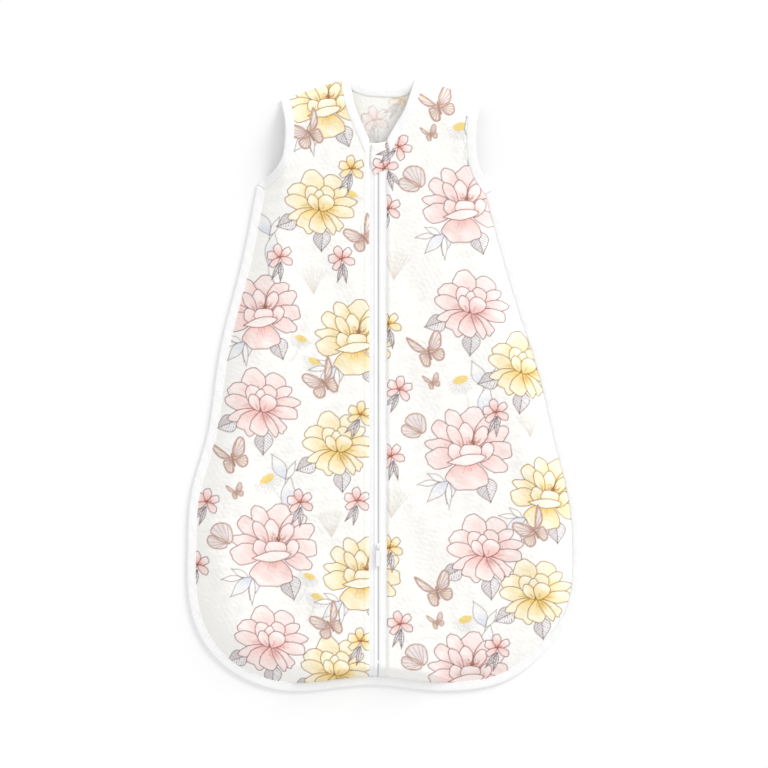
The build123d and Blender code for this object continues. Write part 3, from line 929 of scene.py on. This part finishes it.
def inward_ways(edge, start=None, finish=None):
    """The way into the bag from each point of an edge, turned to meet what is at its ends."""
    along = np.gradient(edge, axis=0)
    along /= np.hypot(*along.T)[:, None]
    ways = np.stack([along[:, 1], -along[:, 0]], axis=1)
    middle = len(edge) // 2
    if (np.array(INSIDE_BAG) - edge[middle]) @ ways[middle] < 0:
        ways = -ways
    run = np.concatenate([[0], np.cumsum(np.hypot(*np.diff(edge, axis=0).T))])
    for target, at, far in ((start, 0, run), (finish, -1, run[-1] - run)):
        if target is None:
            continue
        target = np.array(target) / max(np.array(target) @ ways[at], 0.3)
        share = (1 - ease(far / TURN_OVER))[:, None]
        ways = ways * (1 - share) + target * share
    return ways, run


def seam_height(xy):
    return np.full(len(xy), SEAM_TOP + WALL)


def panel_height(xy):
    return front_top(xy) + 0.35


def back_height(xy):
    return np.full(len(xy), BACK_TOP + WALL)


def below_front(xy):
    return front_top(xy) - BELOW_FRONT


def low_height(xy):
    return np.full(len(xy), OFF_FLOOR)


def binding(name, edge, ways, run, top_of, under_of, nodes, ends=(True, True)):
    """A folded strip sewn over an edge: two legs, the fold between them and its stitches."""
    loop = SKIN + [(s + (WALL if s < 2 else 0.0), h) for s, h in reversed(SKIN)]
    count = len(loop)
    half = len(SKIN)
    rows = []
    for k, (s, h) in enumerate(loop):
        spot = edge + ways * (s - FOLD_OUT)
        within = edge + ways * max(s, 1.0)
        top = top_of(within)
        low = under_of(within)
        pucker = 0.14 * np.sin(run * 0.86 + 0.5 * s) + 0.10 * np.sin(run * 0.37 - 0.3 * s + 1.0)
        pucker += 0.10 * np.sin(run * 1.9 + 0.2 * s)
        z = low + (top - low) * h + pucker * (h > 0.85) * (0.35 + 0.65 * (s > 1))
        if k >= half:
            z += WALL if h < 0.5 else -WALL
        rows.append(np.column_stack([spot, z]))
    points = np.stack(rows, axis=1).reshape(-1, 3)
    faces = []
    for i in range(len(edge) - 1):
        for k in range(count):
            n = (k + 1) % count
            faces.append([i * count + k, i * count + n, (i + 1) * count + n, (i + 1) * count + k])
    for i in [row for row, capped in zip((0, len(edge) - 1), ends) if capped]:
        for k in range(half - 1):
            across = (i + 1) * count - 1 - k
            quad = [i * count + k, i * count + k + 1, across - 1, across]
            faces.append(quad if i else quad[::-1])
    strip = len(faces)
    points, faces = add_stitches(points, faces, *stitch_line(edge, ways, run, top_of))
    index = np.zeros(len(faces), dtype=np.int32)
    index[strip:] = 1
    piece = new_piece(name, points, faces, "bag", [BIND, THREAD], index=index)
    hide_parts(*nodes)


def stitch_line(edge, ways, run, top_of):
    """Places and headings of the stitches that hold a binding's inner edge down."""
    line = edge + ways * STITCH_IN
    at = np.arange(run[0] + 1.5, run[-1] - 1.5, STITCH_PITCH)
    spot = np.stack([np.interp(at, run, part) for part in line.T], axis=1)
    ahead = np.stack([np.interp(at + 0.5, run, part) for part in line.T], axis=1) - spot
    ahead /= np.hypot(*ahead.T)[:, None]
    return np.column_stack([spot, top_of(spot) + 0.06]), ahead


def add_stitches(points, faces, place, ahead):
    """Each stitch is a short low roof of thread."""
    half_long, half_wide, high = STITCH
    side = np.stack([-ahead[:, 1], ahead[:, 0]], axis=1)
    first = len(points)
    corners = []
    foot = -0.25
    for along, across, up in (
        (-1, -1, foot), (1, -1, foot), (1, 1, foot), (-1, 1, foot), (-0.55, 0, 1.0), (0.55, 0, 1.0),
    ):
        plan = place[:, :2] + ahead * along * half_long + side * across * half_wide
        corners.append(np.column_stack([plan, place[:, 2] + up * high]))
    block = np.stack(corners, axis=1).reshape(-1, 3)
    for i in range(len(place)):
        a, b, c, d, e, f = range(first + i * 6, first + i * 6 + 6)
        faces += [[a, b, f, e], [c, d, e, f], [b, c, f], [d, a, e]]
    return np.vstack([points, block]), faces


def bound_edges():
    """Every bound edge, its neighbours at both ends, and the piece that covers it."""
    neck = smooth(BACK_NECK)
    corner = {}
    down = {-1: unit((-84, -28)), 1: unit((84, -28))}
    ways, run = inward_ways(neck, (0, -1), (0, -1))
    binding("neck_back", neck, ways, run, back_height, low_height, ["neck_binding_back"])
    for side, name in ((-1, "left"), (1, "right")):
        arm = smooth(ARMHOLE[side])
        arm_ways = inward_ways(arm)[0]
        side_ways = inward_ways(smooth(SIDE[side]))[0]
        corner[side] = unit(arm_ways[-1] + side_ways[0])
        shoulder = unit(np.array(SHOULDER[side][0], dtype=float) - np.array(SHOULDER[side][-1]))
        arm_ways, arm_run = inward_ways(arm, shoulder, corner[side])
        binding(
            "armhole_front_" + name, arm, arm_ways, arm_run, panel_height, below_front,
            ["armhole_binding_front_" + name],
        )
        binding(
            "armhole_back_" + name, arm, arm_ways, arm_run, back_height, low_height,
            ["armhole_binding_back_" + name],
        )
        vee = smooth(VEE[side])
        ways, run = inward_ways(vee, down[side], (side * 0.25, -1))
        binding(
            "neck_front_" + name, vee, ways, run, panel_height, below_front,
            ["neck_binding_front_" + name],
        )
    foot = smooth(SIDE[-1] + HEM[1:-1] + SIDE[1][::-1])
    ways, run = inward_ways(foot, corner[-1], corner[1])
    low = foot[:, 1] < side_low[1]
    below = np.flatnonzero(low)
    on_hem = np.flatnonzero(low & (foot[:, 0] > HEM[0][0]) & (foot[:, 0] < HEM[-1][0]))
    joints = [0, below[0], on_hem[0], on_hem[-1], below[-1], len(foot) - 1]
    names = (
        "side_binding_left", "corner_binding_left", "hem_binding",
        "corner_binding_right", "side_binding_right",
    )
    for name, a, b in zip(names, joints[:-1], joints[1:]):
        part = slice(a, b + 1)
        ends = (a == 0, b == len(foot) - 1)
        binding(name, foot[part], ways[part], run[part], seam_height, low_height, [name], ends)


# ---- zip ----
TAPE_DOWN = 1.2
TAPE_OFF_BACK = 0.75
TAPE_THICK = 0.5
UNDER_HEM = 5.0
HALF_SLIT = 0.32
TAPE_REACH = 16.0
COIL_PITCH = 1.5
WIRE = 0.17


def strip_mesh(xs, ys, height):
    """A sheet over a grid of places, with height(x, y) in millimetres."""
    grid_x, grid_y = np.meshgrid(xs, ys)
    xy = np.stack([grid_x.ravel(), grid_y.ravel()], axis=1)
    return np.column_stack([xy, height(*xy.T)]), grid_cells(len(ys), len(xs)).tolist()


def thick(points, faces, wall):
    """The sheet given a thickness downwards, closed round its rim."""
    count = len(points)
    edges = {}
    for face in faces:
        for a, b in zip(face, face[1:] + face[:1]):
            if (b, a) in edges:
                del edges[(b, a)]
            else:
                edges[(a, b)] = True
    low = points - np.array([0, 0, wall])
    closed = faces + [[i + count for i in face[::-1]] for face in faces]
    closed += [[b, a, a + count, b + count] for a, b in edges]
    return np.vstack([points, low]), closed


def tape_height(x, y):
    """The tapes as they show: a centre slit, a soft fold each side and flat edges."""
    off = x - ZIP_X
    z = SEAM_TOP + ROOM * rise(np.column_stack([x, y])) - TAPE_DOWN
    z -= 0.75 * swell(off, 0, 0.9)
    z += 0.45 * swell(np.abs(off + 0.3), 3.6, 2.4)
    z -= 0.40 * swell(off, -5.6, 0.8)
    z -= 0.22 * swell(off, 9.2, 0.7)
    z += 0.10 * np.sin(y * 0.09 + off * 0.2) + 0.06 * np.sin(y * 0.31 + 2)
    return np.maximum(z, BACK_TOP + TAPE_OFF_BACK)


def zip_tapes():
    """Both tapes, their lower ends tucked under the hem's binding."""
    ys = np.linspace(tape_low[1] - UNDER_HEM, tape_high[1], 332)
    for side, name in ((-1, "left"), (1, "right")):
        xs = np.sort(ZIP_X + side * np.linspace(HALF_SLIT, TAPE_REACH, 30))
        points, faces = thick(*strip_mesh(xs, ys, tape_height), TAPE_THICK)
        piece = new_piece("zip_tape_" + name, points, faces, "bag", [TAPE])
        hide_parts("zip_tape_" + name)


def coil(side, name):
    """A nylon coil: one round filament wound along the inner edge of its tape."""
    low, high = node_box("zip_coil_" + name)
    middle_x = (low[0] + high[0]) / 2
    middle_z = (low[2] + high[2]) / 2
    wide = (high[0] - low[0]) / 2 - 0.2
    tall = (high[2] - low[2]) / 2 - 0.18
    turns = int((high[1] - low[1]) / COIL_PITCH)
    steps = 8
    angle = np.arange(turns * steps + 1) * 2 * math.pi / steps
    path = np.column_stack([
        middle_x + wide * np.cos(angle) * side,
        low[1] + 0.2 + angle / (2 * math.pi) * COIL_PITCH * 0.995,
        middle_z + tall * np.sin(angle),
    ])
    out = np.column_stack([np.cos(angle) * side, np.zeros(len(angle)), np.sin(angle)])
    points = []
    for k in range(4):
        turn = math.pi / 2 * k
        offset = out * math.cos(turn) + np.array([0, 1.0, 0]) * math.sin(turn)
        points.append(path + offset * WIRE)
    points = np.stack(points, axis=1).reshape(-1, 3)
    faces = []
    for i in range(len(path) - 1):
        for k in range(4):
            n = (k + 1) % 4
            faces.append([i * 4 + k, i * 4 + n, (i + 1) * 4 + n, (i + 1) * 4 + k])
    piece = new_piece("zip_coil_" + name, points, faces, "bag", [NYLON])
    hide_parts("zip_coil_" + name)


def garage():
    """The printed flap over the top end of the zip, a little crowned, with a turned edge."""
    left, right = garage_low[0], garage_high[0]
    top, foot = garage_high[1], garage_low[1]
    reach = right - left
    drop = top - foot
    sewn = np.array([(right, top), (right, top - 0.82 * drop)])
    lowest = (left + 0.2 * reach, foot)
    corner = (left, top - 4)
    nose = smooth([sewn[1], (left + 0.55 * reach, top - 0.92 * drop), lowest], 1)
    free = smooth([lowest, (left + 0.02 * reach, foot + 0.16 * drop), corner], 1)
    ring = ring_of(np.linspace(*sewn, 40), nose, free, np.linspace(corner, (right, top), 18))
    xy, faces = cloth_grid(ring, GARAGE_CELL)
    rim = nearest(xy, np.vstack([ring, ring[:1]]))[0]
    crown = garage_high[2] - 0.1 + 0.45 * ease(rim / 3.5) - 0.35 * (1 - ease(rim / 1.2))
    crown += 0.12 * np.sin(xy[:, 1] * 0.6 + xy[:, 0] * 0.3)
    cloth = Cloth(xy)
    print_pattern(cloth)
    points, closed = thick(np.column_stack([xy, crown]), faces, CLOTH)
    colours = np.vstack([cloth.rgb, cloth.rgb])
    piece = new_piece("garage_flap", points, closed, "garage", [MUSLIN], colours)
    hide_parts("zip_garage")
    return piece, xy, faces


def keep(name, material):
    """A CAD part that stays, with its real finish."""
    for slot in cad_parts[name].material_slots:
        slot.material = material


left = front_panel(-1, "front_left", "_left")
right = front_panel(1, "front_right", "_right")
back = back_panel()
flap = garage()
bound_edges()
zip_tapes()
coil(-1, "left")
coil(1, "right")
for name in ("top_stop_left", "top_stop_right", "bottom_stop"):
    keep(name, NYLON)
for name in ("slider_body", "pull_tab"):
    keep(name, ENAMEL)


# ---- floor, light and camera ----
# Lamp and sky together make the open floor just white; the low lamp leaves a soft shadow.
HALF_FLOOR = 3.0
FLOOR_WHITE = (0.95, 0.95, 0.95)
LAMP_PLACE = (1.7, 1.8, 0.82)
LAMP_STRENGTH = 2.0
LAMP_SPREAD = 26
SKY_STRENGTH = 0.86
CAMERA_HEIGHT = 2.248


def floor():
    """A matt white square for the bag to lie on, in metres."""
    mesh = bpy.data.meshes.new("floor")
    corners = [(-1, -1), (1, -1), (1, 1), (-1, 1)]
    mesh.from_pydata([(x * HALF_FLOOR, y * HALF_FLOOR, 0) for x, y in corners], [], [(0, 1, 2, 3)])
    material, _, shader = new_material("floor_white")
    set_inputs(shader, {
        "Base Color": (*FLOOR_WHITE, 1), "Roughness": 0.9, "Specular IOR Level": 0.0,
    })
    mesh.materials.append(material)
    plane = placed("floor", mesh)


def sun(name, place, strength, spread):
    """A wide soft lamp, so far off that it lights the whole floor evenly."""
    data = bpy.data.lights.new(name, "SUN")
    data.energy = strength
    data.angle = math.radians(spread)
    lamp = placed(name, data)
    lamp.location = place
    lamp.rotation_euler = (-Vector(place)).to_track_quat("-Z", "Y").to_euler()


floor()
sun("low", LAMP_PLACE, LAMP_STRENGTH, LAMP_SPREAD)
world = bpy.data.worlds.new("studio")
world.use_nodes = True
sky = world.node_tree.nodes["Background"]
set_inputs(sky, {"Color": (1, 1, 1, 1), "Strength": SKY_STRENGTH})
bpy.context.scene.world = world
bpy.context.scene.view_settings.view_transform = "Standard"

camera_data = bpy.data.cameras.new("camera")
camera_data.lens = 85
camera_data.sensor_width = 36
camera = placed("camera", camera_data)
camera.location = (0, 0, CAMERA_HEIGHT)
bpy.context.scene.camera = camera
